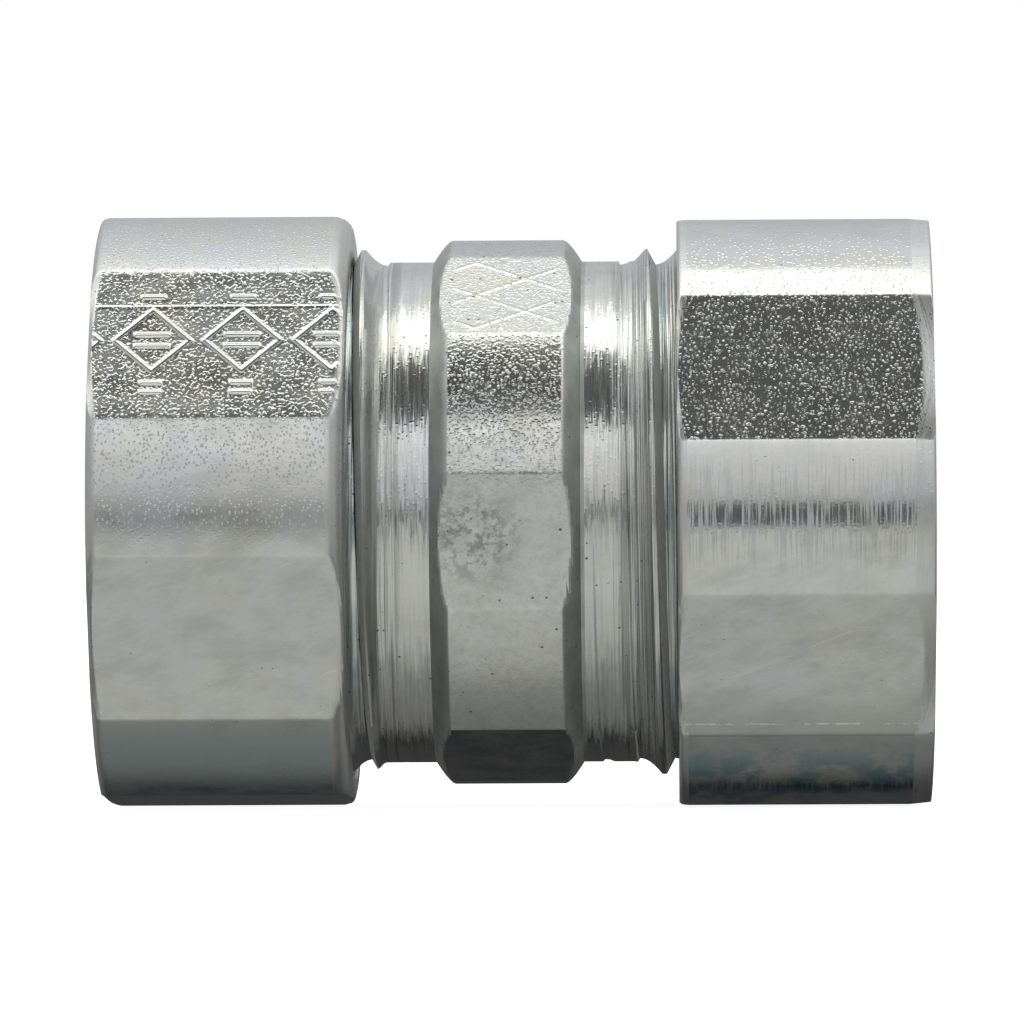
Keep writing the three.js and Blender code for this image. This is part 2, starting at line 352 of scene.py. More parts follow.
def lattice_raise(station, across):
    """Height of the fine raised lattice on the hexagon's marked flat."""
    centre_line = -0.15
    raised = line_raise(np.abs(station - centre_line), LATTICE_LINE)
    for lean in (1, -1):
        # Lines that lean 30 degrees from the axis.
        place = (station * 0.5 + lean * across * 0.866) / LATTICE_PITCH + 0.3
        off_line = np.abs(place - np.round(place)) * LATTICE_PITCH
        raised = np.maximum(raised, line_raise(off_line, LATTICE_LINE))
    inside_ends = smooth_step(HEX_HALF - 0.15 - np.abs(station), 0, 0.2)
    inside_sides = smooth_step(LATTICE_HALF - np.abs(across), 0, 0.25)
    return LATTICE_RAISE * raised * (inside_ends * inside_sides)


def hexagon_marks(station, angle):
    """Height of the lattice, which is on one side of the hexagon only."""
    away = wrapped(angle - math.radians(HEX_CLOCK + 60 * HEX_MARKED_SIDE))
    marked = np.abs(away) < math.pi / 6
    across = HEX_ACROSS / 2 * np.tan(from_flat(angle, HEX_CLOCK))
    return marked * lattice_raise(station, across)


def hexagon_rows(angle):
    """The body's hexagon with a turned chamfer on each side of it, as stations, radii and finishes."""
    share = np.linspace(0, 1, 9)
    chamfer_station = HEX_HALF + (HEX_BASE_HALF - HEX_HALF) * share
    chamfer_radius = HEX_CORNER_R - (HEX_CORNER_R - BLANK_R) * share**1.4
    steps = round(2 * HEX_HALF / (1.2 * MARK_STEP))
    flat_station = np.linspace(-HEX_HALF, HEX_HALF, steps)[1:-1]
    station = np.concatenate([-chamfer_station[::-1], flat_station, chamfer_station])[None, :]
    turned = np.concatenate([chamfer_radius[::-1], flat_station * 0 + HEX_CORNER_R, chamfer_radius])[None, :]
    hexagon = hexagon_radius(angle, HEX_CLOCK, HEX_ACROSS, HEX_CORNER_R)
    radius = soft_minimum(turned, hexagon, EDGE_SOFTNESS) + hexagon_marks(station, angle)
    is_chamfer = (turned < hexagon - 0.01) & (np.abs(station) > HEX_HALF)
    in_corner = np.abs(from_flat(angle, HEX_CLOCK)) > math.acos(HEX_ACROSS / 2 / HEX_CORNER_R)
    finish = np.where(is_chamfer, BODY_CHAMFER, np.where(in_corner, BODY_CORNERS, BODY_FLATS))
    return station, radius, finish


def body_outline(angle):
    left_station, left_radius, left_finish = body_end_outside("left", math.pi - angle)
    hex_station, hex_radius, hex_finish = hexagon_rows(angle)
    right_station, right_radius, right_finish = body_end_outside("right", angle)
    inside_station, inside_radius = body_inside()
    one = np.ones((len(angle), 1))
    station = np.concatenate([
        -left_station[:, ::-1], hex_station * one, right_station,
        inside_station * one, -inside_station[::-1] * one,
    ], axis=1)
    radius = np.concatenate([
        left_radius[:, ::-1], hex_radius, right_radius, inside_radius * one, inside_radius[::-1] * one,
    ], axis=1)
    bore_finish = np.full((len(angle), 2 * len(inside_radius)), BODY_BORE)
    finish = np.concatenate([left_finish[:, ::-1], hex_finish, right_finish, bore_finish], axis=1)
    return station, radius, finish


def coupling_body(finishes):
    columns = hexagon_columns(HEX_CLOCK, HEX_ACROSS, HEX_CORNER_R, marked_side=HEX_MARKED_SIDE)
    piece = swept_mesh("body_shell", columns, body_outline, finishes)
    stand_in(piece, "coupling_body", "coupling")


# ---- gland nut -------------------------------------------------------------------------------------


def lozenge_raise(along, across):
    """Height of the row of raised lozenges with short bars, on the marked flat of the left nut."""
    to_centre = (along + 0.36 * LOZENGE_PITCH) % LOZENGE_PITCH - LOZENGE_PITCH / 2
    height_above = across - 0.15
    off_outline = np.abs(np.abs(to_centre) + np.abs(height_above) - LOZENGE_HALF) / math.sqrt(2)
    raised = line_raise(off_outline, LOZENGE_LINE)
    # Short bars above, inside and below each lozenge, as (height above its middle, half length).
    bars = ((2.35, 0.45), (0.3, 0.7), (-0.3, 0.7), (-2.3, 0.4), (-2.8, 0.4))
    for place, half_length in bars:
        off_bar = np.maximum(np.abs(height_above - place), np.abs(to_centre) - half_length)
        raised = np.maximum(raised, line_raise(off_bar, LOZENGE_LINE))
    seam = SEAM_SHARE * line_raise(np.abs(across - SEAM_PLACE), SEAM_LINE)
    return LOZENGE_RAISE * np.maximum(raised, seam)


def nut_marks(end, along, angle, in_taper):
    """Height of the raised marks, which stop short of the marked flat's four edges."""
    half_flat = math.acos(end["across"] / 2 / NUT_CORNER_R)
    away = np.abs(wrapped(angle - math.radians(end["clock"] + 60 * end["marked_side"])))
    across = end["across"] / 2 * np.tan(from_flat(angle, end["clock"]))
    clear = smooth_step(half_flat - away, 0.01, 0.03) * smooth_step(-in_taper, 0, 0.15)
    return clear * (away < half_flat) * lozenge_raise(along, across)


def nut_turned_rows(end, length):
    """Distances from the mouth along a nut's outside, and the radii that the lathe left there."""
    quarter = np.linspace(0, math.pi / 2, 10)
    mouth_along, mouth_drop = end["mouth"]
    lip_along, lip_drop = end["lip"]
    mouth_rows = np.stack([mouth_along * (1 - np.sin(quarter)), mouth_drop * (1 - np.cos(quarter))])[:, ::-1]
    lip_rows = np.stack([length - lip_along * (1 - np.sin(quarter)), lip_drop * (1 - np.cos(quarter))])
    step = PLAIN_STEP if end["marked_side"] is None else MARK_STEP
    steps = round((length - mouth_along - lip_along) / step)
    middle = np.linspace(mouth_along, length - lip_along, steps)[1:-1]
    along = np.concatenate([mouth_rows[0], middle, lip_rows[0]])[None, :]
    turned = NUT_CORNER_R - np.concatenate([mouth_rows[1], middle * 0, lip_rows[1]])[None, :]
    return along, turned


def nut_outside(end, length, angle):
    """A nut's outside from its mouth to its lip, as distances from the mouth, radii and finishes."""
    hexagon = hexagon_radius(angle, end["clock"], end["across"], NUT_CORNER_R)
    cornerness = np.clip((hexagon - end["across"] / 2) / (NUT_CORNER_R - end["across"] / 2), 0, 1)
    along, turned = nut_turned_rows(end, length)
    in_mouth_taper = 1 - along / blend(*end["mouth_taper"], cornerness)
    in_lip_taper = 1 - (length - along) / blend(*end["lip_taper"], cornerness)
    in_taper = np.maximum(in_mouth_taper, in_lip_taper)
    drop = MOUTH_TAPER_DROP * np.maximum(in_mouth_taper, 0) + LIP_TAPER_DROP * np.maximum(in_lip_taper, 0)
    outside = soft_minimum(turned, hexagon - drop * (1 - CORNER_TAPER_EASE * cornerness), EDGE_SOFTNESS)
    on_flat = np.abs(from_flat(angle, end["clock"])) < math.acos(end["across"] / 2 / NUT_CORNER_R)
    finish = np.where(in_taper > 0, NUT_TURNED, np.where(on_flat, NUT_FLATS, NUT_CORNERS))
    if end["marked_side"] is None:
        return along, outside, finish
    raised = nut_marks(end, along, angle, in_taper)
    return along, outside + raised, np.where(raised > 0.3 * LOZENGE_RAISE, NUT_MARKS, finish)


def nut_thread(end, face, angle):
    """The nut's thread from its mouth to the plain bore behind it, as stations and radii."""
    ridge = GROOVE_FLOOR / 2 + (NUT_CREST_R - BODY_ROOT_R) * FLANK / (BODY_CREST_R - BODY_ROOT_R)
    flank = FLANK * (NUT_ROOT_R - NUT_CREST_R) / (BODY_CREST_R - BODY_ROOT_R)
    thread_end = face + NUT_THREAD_END
    station, share, _ = thread_rows(face, thread_end, angle, end["thread_start"], ridge - THREAD_PLAY, flank)
    radius = np.maximum(blend(NUT_CREST_R, NUT_ROOT_R, share), NUT_MOUTH_R - (station - face))
    radius[station == thread_end] = NUT_BORE_R
    return station, radius


def nut_seat(outer):
    """The hole through the lip and the seat behind it, as stations and radii, from the end face inwards."""
    hole_edge = 0.12
    shoulder = outer - NUT_LIP
    rows = [
        (outer, NUT_HOLE_R + hole_edge + NUT_RIM),
        (outer, NUT_HOLE_R + hole_edge),
        (outer - hole_edge * 0.3, NUT_HOLE_R + hole_edge * 0.3),
        (outer - hole_edge, NUT_HOLE_R),
        (shoulder, NUT_HOLE_R),
        (shoulder, NUT_BORE_R),
    ]
    return np.array(rows).T


def nut_outline(end, face, length, angle):
    along, outside, finish = nut_outside(end, length, angle)
    outer = face + length
    seat_station, seat_radius = nut_seat(outer)
    thread_station, thread_radius = nut_thread(end, face, angle)
    one = np.ones((len(angle), 1))
    # A close row inside each edge of the two flat faces keeps their shading flat.
    station = np.concatenate([
        (face + along) * one, outer * one, seat_station * one, thread_station[:, ::-1],
        face * one, face * one,
    ], axis=1)
    radius = np.concatenate([
        outside, outside[:, -1:] - NUT_RIM, seat_radius * one, thread_radius[:, ::-1],
        thread_radius[:, :1] + NUT_RIM, outside[:, :1] - NUT_RIM,
    ], axis=1)
    rest = np.full((len(angle), station.shape[1] - finish.shape[1]), NUT_TURNED)
    return station, radius, np.concatenate([finish, rest], axis=1)


def gland_nut(side, finishes):
    end = ENDS[side]
    low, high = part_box(side + "_gland_nut")
    face = min(abs(low.x), abs(high.x)) / MM
    length = (high.x - low.x) / MM
    columns = hexagon_columns(end["clock"], end["across"], NUT_CORNER_R, end["marked_side"])
    piece = swept_mesh(
        side + "_nut_shell", columns, lambda angle: nut_outline(end, face, length, angle), finishes,
        half_turn=side == "left",
    )
    stand_in(piece, side + "_gland_nut", side + "_nut")


# ---- washer, sealing ring and gland ring -----------------------------------------------------------


def node_reach(side, part):
    """Inner and outer station of a CAD node, in its end frame."""
    low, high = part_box(f"{side}_{part}")
    return sorted((abs(low.x) / MM, abs(high.x) / MM))


def rounded_ring(inner, outer, bore_r, outside_r, edge):
    """Outline of a ring with four rounded edges, as stations and radii."""
    quarter = np.linspace(0, math.pi / 2, 6)
    corners = [
        (inner + edge, outside_r - edge, math.pi),
        (outer - edge, outside_r - edge, math.pi / 2),
        (outer - edge, bore_r + edge, 0),
        (inner + edge, bore_r + edge, -math.pi / 2),
    ]
    rows = [
        (station + edge * math.cos(start - turn), radius + edge * math.sin(start - turn))
        for station, radius, start in corners
        for turn in quarter
    ]
    return np.array(rows).T


def friction_washer(side, finish):
    inner, outer = node_reach(side, "friction_washer")
    station, radius = rounded_ring(inner, outer, NUT_HOLE_R, SOFT_R, 0.07)
    piece = swept_mesh(
        side + "_washer", even_columns(180), lambda angle: (station[None, :], radius + 0 * angle, 0 * angle),
        [finish], half_turn=side == "left",
    )
    stand_in(piece, side + "_friction_washer", side + "_gland")


def sealing_ring(side, finish):
    inner, outer = node_reach(side, "sealing_ring")
    station, radius = rounded_ring(inner, outer, SEAL_R, SOFT_R, 0.32)

    def outline(angle):
        swell = 0.03 * np.sin(5 * angle) * np.sin(math.pi * (station - inner) / (outer - inner))
        return station[None, :], radius - np.abs(swell) * (radius > BORE_R + 0.5), 0 * angle

    piece = swept_mesh(side + "_seal", even_columns(240), outline, [finish], half_turn=side == "left")
    stand_in(piece, side + "_sealing_ring", side + "_gland")


def gland_ring_outline(inner, outer):
    taper = (RING_R - RING_NOSE_R) / math.tan(CONE_ANGLE)
    soft = 0.08
    rows = [
        (inner, RING_BORE_R + soft),
        (inner, RING_NOSE_R - soft),
        (inner + soft, RING_NOSE_R + soft / 4),
        (inner + taper - soft, RING_R - soft / 3),
        (inner + taper + soft, RING_R),
        (outer - taper - soft, RING_R),
        (outer - taper + soft, RING_R - soft / 3),
        (outer - soft, RING_NOSE_R + soft / 4),
        (outer, RING_NOSE_R - soft),
        (outer, RING_BORE_R + soft),
        (outer - soft, RING_BORE_R),
    ]
    middle = (inner + outer) / 2
    for place in (1, 0, -1):
        for offset, depth in ((1 / 3, 0), (0.08, 1), (-0.08, 1), (-1 / 3, 0)):
            rows.append((middle + (place + offset) * BITE_PITCH, RING_BORE_R + depth * BITE_DEPTH))
    rows.append((inner + soft, RING_BORE_R))
    return np.array(rows)


def gland_ring(side, finish):
    """A ring with one slot: the outline swept from one side of the slot to the other, with two end caps."""
    outline = gland_ring_outline(*node_reach(side, "gland_ring"))
    half_slot = RING_SLOT / 2
    columns = 220
    share = np.linspace(0, 1, columns)[:, None]
    radius = outline[None, :, 1]
    away = np.arcsin(half_slot / radius)
    angle = math.radians(ENDS[side]["slot"]) + away + share * (2 * math.pi - 2 * away)
    station = outline[None, :, 0] + 0 * angle
    points = np.stack([station, radius * np.cos(angle), radius * np.sin(angle)], axis=-1)
    if side == "left":
        points = points * np.array([-1, -1, 1])
    rows = len(outline)
    here = np.arange(columns - 1)[:, None] * rows + np.arange(rows)[None, :]
    after = np.arange(columns - 1)[:, None] * rows + (np.arange(rows)[None, :] + 1) % rows
    mesh = bpy.data.meshes.new(side + "_ring")
    sides = np.stack([here, here + rows, after + rows, after], axis=-1).reshape(-1, 4).tolist()
    first_cap = list(range(rows))
    last_cap = [(columns - 1) * rows + row for row in reversed(range(rows))]
    mesh.from_pydata((points.reshape(-1, 3) * MM).tolist(), [], sides + [first_cap, last_cap])
    mesh.materials.append(finish)
    mesh.shade_smooth()
    mesh.set_sharp_from_angle(angle=RING_SHARP_EDGE)
    piece = scene_object(side + "_ring", mesh)
    stand_in(piece, side + "_gland_ring", side + "_gland")


# ---- finishes --------------------------------------------------------------------------------------

WARM_ZINC = (0.76, 0.765, 0.735, 1)
COOL_ZINC = (0.735, 0.755, 0.77, 1)
DULL_ZINC = (0.60, 0.62, 0.58, 1)
STRAW_ZINC = (0.75, 0.74, 0.63, 1)
SEA_ZINC = (0.60, 0.72, 0.73, 1)
PIT_COLOUR = (0.10, 0.10, 0.09, 1)
BLUE_PASSIVATION = (0.16, 0.42, 0.50, 1)
TEAL_PASSIVATION = (0.30, 0.46, 0.50, 1)
# Painted shade for the hollows of the thread's run-out.
RUN_OUT_GROOVE_SHADE = (0.30, 0.32, 0.29, 1)
WORN_ZINC = (0.55, 0.57, 0.51, 1)
HANDLED_ZINC = (0.47, 0.50, 0.47, 1)
SCRATCHED_ZINC = (0.92, 0.93, 0.91, 1)
# Painted shade towards the lower edge of the right nut's flats.
LOW_EDGE_SHADE_ZINC = (0.46, 0.49, 0.45, 1)
ETCHED_ZINC = (0.36, 0.39, 0.36, 1)
SMUDGED_ZINC = (0.30, 0.31, 0.30, 1)
# Painted highlight for a thin line along the lower edge of the right nut's flats.
EDGE_HIGHLIGHT_ZINC = (0.95, 0.95, 0.92, 1)


# Small holes in the plating: cells to the millimetre, and the radius of the largest ones in cells.
HOLE_SCALE = 2.7
HOLE_SIZE = 0.12

# Places of the sockets of a Mix node that mixes colours.
MIX_SHARE, MIX_A, MIX_B = 0, 6, 7
MIX_RESULT = 2


def feed(tree, socket, value):
    """Links a socket to another node's output, or gives it a value of its own."""
    if isinstance(value, bpy.types.NodeSocket):
        tree.links.new(value, socket)
    else:
        socket.default_value = value


def add_node(tree, kind, inputs, settings):
    made = tree.nodes.new("ShaderNode" + kind)
    for name, value in settings.items():
        setattr(made, name, value)
    for socket, value in inputs.items():
        feed(tree, made.inputs[socket], value)
    return made


class Finish:
    """A material's node tree, with a short call for each kind of node. Coordinates are in millimetres."""

    def __init__(self, name):
        self.material = bpy.data.materials.new(name)
        self.material.use_nodes = True
        self.tree = self.material.node_tree
        self.shader = self.tree.nodes["Principled BSDF"]
        place = self.node("TexCoord").outputs["Object"]
        self.place = self.node("VectorMath", {0: place, 3: 1 / MM}, operation="SCALE").outputs[0]
        parts = self.node("SeparateXYZ", {0: self.place})
        self.x, self.y, self.z = parts.outputs
        flat = self.node("CombineXYZ", {1: self.y, 2: self.z}).outputs[0]
        self.radius = self.node("VectorMath", {0: flat}, operation="LENGTH").outputs["Value"]
        self.normal = self.node("NewGeometry").outputs["Normal"]

    def node(self, kind, inputs=None, **settings):
        return add_node(self.tree, kind, inputs or {}, settings)

    def math(self, operation, a, b=0.0):
        return self.node("Math", {0: a, 1: b}, operation=operation).outputs[0]

    def times(self, first, *rest):
        for value in rest:
            first = self.math("MULTIPLY", first, value)
        return first

    def stretched(self, along, round_about, shift=0.0):
        """Coordinates for streaks that run round the axis, on cylinders as well as on end faces."""
        line = self.math("MULTIPLY", self.math("ADD", self.x, self.radius), along)
        y = self.math("MULTIPLY", self.y, round_about)
        z = self.node("Math", {0: self.z, 1: round_about, 2: shift}, operation="MULTIPLY_ADD").outputs[0]
        return self.node("CombineXYZ", {0: line, 1: y, 2: z}).outputs[0]

    def scaled(self, x, y, z):
        return self.node("VectorMath", {0: self.place, 1: (x, y, z)}, operation="MULTIPLY").outputs[0]

    def noise(self, vector, scale, detail=2.0, roughness=0.5):
        inputs = {"Vector": vector, "Scale": scale, "Detail": detail, "Roughness": roughness}
        return self.node("TexNoise", inputs).outputs["Fac"]

    def cells(self, vector, scale, output="Distance"):
        return self.node("TexVoronoi", {"Vector": vector, "Scale": scale}).outputs[output]

    def between(self, value, low, high, to_low=0.0, to_high=1.0):
        inputs = {0: value, 1: low, 2: high, 3: to_low, 4: to_high}
        return self.node("MapRange", inputs, interpolation_type="SMOOTHSTEP").outputs[0]

    def mix(self, share, a, b):
        inputs = {MIX_SHARE: share, MIX_A: a, MIX_B: b}
        return self.node("Mix", inputs, data_type="RGBA").outputs[MIX_RESULT]

    def sum(self, first, *rest):
        for value in rest:
            first = self.math("ADD", first, value)
        return first

    def set(self, name, value):
        feed(self.tree, self.shader.inputs[name], value)

    def tilt(self, slope):
        """Tips the surface round the axis by a slope, which may change from place to place."""
        along = self.node("VectorMath", {0: (1, 0, 0), 1: self.place}, operation="CROSS_PRODUCT").outputs[0]
        unit = self.node("VectorMath", {0: along}, operation="NORMALIZE").outputs[0]
        turned = self.node("VectorTransform", {0: unit}, convert_from="OBJECT", convert_to="WORLD").outputs[0]
        scaled = self.node("VectorMath", {0: turned, 3: slope}, operation="SCALE").outputs[0]
        tipped = self.node("VectorMath", {0: self.normal, 1: scaled}, operation="ADD").outputs[0]
        self.normal = self.node("VectorMath", {0: tipped}, operation="NORMALIZE").outputs[0]

    def bump(self, height):
        """height is in millimetres."""
        inputs = {"Height": height, "Distance": MM, "Strength": 1.0, "Normal": self.normal}
        self.set("Normal", self.node("Bump", inputs).outputs[0])


def plating_colour(finish, clouds, stains_and_painted_light):
    """Pale zinc with warm, dull and straw-coloured patches, and on top of them the stains_and_painted_light
    functions: real staining and wear, and in places painted shade and a painted highlight.
    """
    patches = finish.noise(finish.place, 0.22, 3, 0.6)
    colour = finish.mix(finish.between(patches, 0.4, 0.6), COOL_ZINC, WARM_ZINC)
    colour = finish.mix(finish.between(clouds, 0.4, 0.75, 0, 0.45), colour, DULL_ZINC)
    straw = finish.noise(finish.scaled(0.7, 1, 1), 0.42, 4, 0.65)
    colour = finish.mix(finish.between(straw, 0.5, 0.68, 0, 0.45), colour, STRAW_ZINC)
    flecks = finish.noise(finish.scaled(0.5, 1, 1), 6.5, 4, 0.75)
    colour = finish.mix(finish.between(flecks, 0.52, 0.72, 0, 0.35), colour, DULL_ZINC)
    for colouring in stains_and_painted_light:
        colour = colouring(finish, colour)
    return colour


def small_holes(finish, pits):
    """1 in the small round holes, and 0 between them."""
    place = finish.scaled(0.8, 1, 1)
    from_centre = finish.cells(place, HOLE_SCALE)
    chance = finish.cells(place, HOLE_SCALE, output="Color")
    size = finish.between(chance, 0.45, 0.9, 0.0, HOLE_SIZE * pits)
    return finish.math("LESS_THAN", from_centre, size)


def scoring(finish, lined, rough_lines):
    """How much rougher some turning marks are, most of all near the height of the axis."""
    marks = finish.noise(finish.stretched(11, 0.35, 23.0), 1.0, 2, 0.6)
    extra = finish.between(marks, 0.47, 0.6, 0.0, rough_lines)
    girth = finish.between(finish.math("ABSOLUTE", finish.z), 1.2, 3.0, 1.0, 0.3)
    return finish.times(extra, lined, girth)


def turning_sways(finish):
    """Uneven slopes of long and short turning marks, to either side of 0."""
    long_sways = finish.noise(finish.stretched(8, 0.28, 11.0), 1.0, 3, 0.75)
    short_sways = finish.noise(finish.stretched(12, 1.1, 5.0), 1.0, 2, 0.6)
    return finish.math("SUBTRACT", finish.mix(0.4, long_sways, short_sways), 0.5)


def coarse_rings(finish):
    """The uneven rings where the thread runs out, as heights between 0 and 1."""
    return finish.noise(finish.stretched(4.6, 0.05, 31.0), 1.0, 2, 0.6)


def close_grain(finish, scale, level_share):
    """Blobs of grain, which are rubbed down on the lower half."""
    blobs = finish.between(finish.noise(finish.place, scale, 0.6, 0.5), level_share, level_share + 0.28)
    rubbed = finish.between(finish.z, 0.5, 3.0, 0.12, 1.0)
    return finish.times(blobs, rubbed)


def round_domes(finish, scale, fade_from):
    """Small round domes, which fade out below a height."""
    dome = finish.between(finish.cells(finish.place, scale), 0.38, 0.04)
    shown = finish.between(finish.z, fade_from, fade_from + 3.5, 0.1, 1.0)
    return finish.times(dome, shown)


def zinc(
    name, roughness, grain=0.0, grain_from=0.48, grain_scale=7.6, specks=0.0, speck_scale=3.8,
    specks_from=-1.5, streaks=0.0, rough_lines=0.0, lined_below=30.0, lines=0.0, rings=0.0, pits=1.0,
    stains_and_painted_light=(),
):
    """Bright zinc plating. grain is the height of the close grain left on bar stock, and grain_from how much
    of the surface stays level between its blobs. specks is the height of small round domes, speck_scale of
    them to the millimetre, which fade out below the height specks_from. lines is the depth of fine turning
    lines, and rings that of the coarse ones where the thread runs out. streaks is the slope by which turning
    marks tip the surface, and rough_lines how much rougher some of them are, both below the height
    lined_below. pits sizes the small holes, and stains_and_painted_light are functions that change its
    colour: real staining and wear, and in some places painted shade and a painted highlight. Heights and
    depths are in millimetres."""
    finish = Finish(name)
    clouds = finish.noise(finish.scaled(0.6, 1, 1), 0.9, 4, 0.6)
    is_hole = small_holes(finish, pits)
    colour = plating_colour(finish, clouds, stains_and_painted_light)
    finish.set("Base Color", finish.mix(finish.times(is_hole, 0.75), colour, PIT_COLOUR))
    finish.set("Metallic", 1.0)

    turning = finish.noise(finish.stretched(9, 0.25), 1.0, 3, 0.7)
    uneven = turning if lines else clouds
    rough = finish.between(uneven, 0.3, 0.7, roughness - 0.04, roughness + 0.06)
    lined = finish.between(finish.z, lined_below, lined_below + 1.5, 1.0, 0.0)
    if rough_lines:
        rough = finish.math("ADD", rough, scoring(finish, lined, rough_lines))
    if streaks:
        finish.tilt(finish.times(turning_sways(finish), lined, streaks))

    heights = [finish.times(clouds, 0.006), finish.times(is_hole, -0.012)]
    if lines:
        heights.append(finish.times(turning, lines))
    if rings:
        run_out = finish.between(finish.math("ABSOLUTE", finish.x), 4.6, 5.2, 0.1, 1.0)
        heights.append(finish.times(coarse_rings(finish), run_out, rings))
    if grain:
        heights.append(finish.times(close_grain(finish, grain_scale, grain_from), grain))
    if specks:
        dome = round_domes(finish, speck_scale, specks_from)
        heights.append(finish.times(dome, specks))
        rough = finish.times(rough, finish.between(dome, 0, 1, 1, 0.5))
    finish.set("Roughness", finish.math("ADD", rough, finish.times(is_hole, 0.3)))
    finish.bump(finish.sum(*heights))
    return finish.material


def blue_low_stain(finish, colour):
    """Blue passivation that has pooled and dried low on a nut."""
    low = finish.between(finish.z, -9.8, -12.0)
    cloud = finish.between(finish.noise(finish.place, 0.55, 3, 0.6), 0.43, 0.58)
    share = finish.times(low, cloud, 0.75)
    return finish.mix(share, colour, BLUE_PASSIVATION)


def blue_green_underside(finish, colour):
    """Colour that turns evenly darker and blue-green towards the underside of a nut."""
    low = finish.between(finish.z, -8.5, -10.5, 0.0, 0.7)
    return finish.mix(low, colour, SEA_ZINC)


def blue_groove_stain(finish, colour):
    """Blue-green passivation left in the thread's grooves."""
    deep = finish.between(finish.radius, 11.5, 11.2)
    threaded = finish.between(finish.math("ABSOLUTE", finish.x), 5.9, 6.2)
    cloud = finish.between(finish.noise(finish.place, 0.35, 2, 0.5), 0.4, 0.6)
    share = finish.times(deep, threaded, cloud)
    return finish.mix(finish.times(share, 0.4), colour, TEAL_PASSIVATION)


def painted_groove_shade(finish, colour):
    """Painted shade: darker colour in the hollows of the coarse rings where the thread runs out."""
    deep = finish.between(coarse_rings(finish), 0.5, 0.4)
    run_out = finish.between(finish.math("ABSOLUTE", finish.x), 4.4, 5.0, 0.15, 1.0)
    share = finish.times(deep, run_out, 0.6)
    return finish.mix(share, colour, RUN_OUT_GROOVE_SHADE)


def dull_mottle(finish, colour):
    """Fine dull mottling, where the plating has lost its shine."""
    worn = finish.between(finish.noise(finish.place, 3.2, 6, 0.75), 0.42, 0.66, 0.0, 0.5)
    return finish.mix(worn, colour, WORN_ZINC)


def handled(finish, colour):
    """Faint slanting smudges and a few light scratches from handling, on the lower half of a nut."""
    slant = {0: finish.place, 3: math.radians(20)}
    slanted = finish.node("VectorRotate", slant, rotation_type="Y_AXIS").outputs[0]
    drawn_out = finish.node("VectorMath", {0: slanted, 1: (0.3, 0.6, 0.7)}, operation="MULTIPLY").outputs[0]
    thin = finish.node("VectorMath", {0: slanted, 1: (0.22, 0.3, 6.5)}, operation="MULTIPLY").outputs[0]
    low = finish.between(finish.z, 1.5, -1.0)
    smear = finish.between(finish.noise(drawn_out, 0.9, 5, 0.65), 0.46, 0.66, 0.0, 0.33)
    colour = finish.mix(finish.times(smear, low), colour, HANDLED_ZINC)
    scratch = finish.between(finish.noise(thin, 1.0, 2, 0.5), 0.68, 0.72, 0.0, 0.25)
    return finish.mix(finish.times(scratch, low), colour, SCRATCHED_ZINC)


def painted_low_shade_and_edge_highlight(finish, colour):
    """Painted shade that darkens towards the lower edge of a nut's flats, and a ragged painted highlight line
    just above it.
    """
    colour = finish.mix(finish.between(finish.z, -7.4, -9.8, 0.0, 0.8), colour, LOW_EDGE_SHADE_ZINC)
    line_height = -9.4
    off_line = finish.math("ABSOLUTE", finish.math("ADD", finish.z, -line_height))
    line = finish.between(off_line, 0.06, 0.02, 0.0, 0.6)
    ragged = finish.between(finish.noise(finish.place, 1.1, 4, 0.7), 0.42, 0.55)
    return finish.mix(finish.times(line, ragged), colour, EDGE_HIGHLIGHT_ZINC)


def etched(finish, colour):
    """An even dull film on turned faces."""
    film = finish.between(finish.noise(finish.place, 0.8, 3, 0.6), 0.3, 0.7, 0.45, 0.75)
    return finish.mix(film, colour, ETCHED_ZINC)


def smudge(finish, colour):
    """Dark fingered patches near the middle of the hexagon's front."""
    middle = (-1.4, -11.8, -1.0)
    away = finish.node("VectorMath", {0: finish.place, 1: middle}, operation="DISTANCE")
    near = finish.between(away.outputs["Value"], 2.7, 0.9)
    cloud = finish.between(finish.noise(finish.scaled(1.2, 1, 1.4), 1.1, 7, 0.78), 0.46, 0.58)
    share = finish.times(near, cloud, 0.8)
    return finish.mix(share, colour, SMUDGED_ZINC)


def bright_steel():
    """The friction washer: fine ground all ways, with arcs left by the press."""
    finish = Finish("washer_bright_steel")
    ground = finish.noise(finish.scaled(2, 9, 1), 1.6, 3, 0.6)
    arcs = finish.noise(finish.stretched(9, 0.4), 1.0, 2, 0.5)
    colour = finish.mix(finish.between(ground, 0.3, 0.7), (0.72, 0.72, 0.70, 1), (0.80, 0.80, 0.79, 1))
    finish.set("Base Color", colour)
    finish.set("Metallic", 1.0)
    finish.set("Roughness", finish.between(arcs, 0.3, 0.7, 0.2, 0.36))
    finish.bump(finish.sum(finish.times(ground, 0.006), finish.times(arcs, 0.004)))
    return finish.material


def dull_steel():
    """The split gland ring: dull plating with rubbed high spots."""
    finish = Finish("ring_dull_steel")
    grain = finish.noise(finish.place, 5.5, 3, 0.6)
    patches = finish.noise(finish.place, 0.7, 3, 0.6)
    rubbed = finish.noise(finish.stretched(4, 0.3), 1.0, 3, 0.6)
    colour = finish.mix(finish.between(patches, 0.35, 0.65), (0.50, 0.50, 0.47, 1), (0.64, 0.64, 0.62, 1))
    colour = finish.mix(finish.between(rubbed, 0.5, 0.75, 0, 0.5), colour, (0.78, 0.78, 0.77, 1))
    finish.set("Base Color", colour)
    finish.set("Metallic", 1.0)
    finish.set("Roughness", finish.between(patches, 0.3, 0.7, 0.34, 0.5))
    finish.bump(finish.sum(finish.times(grain, 0.012), finish.times(rubbed, 0.008)))
    return finish.material


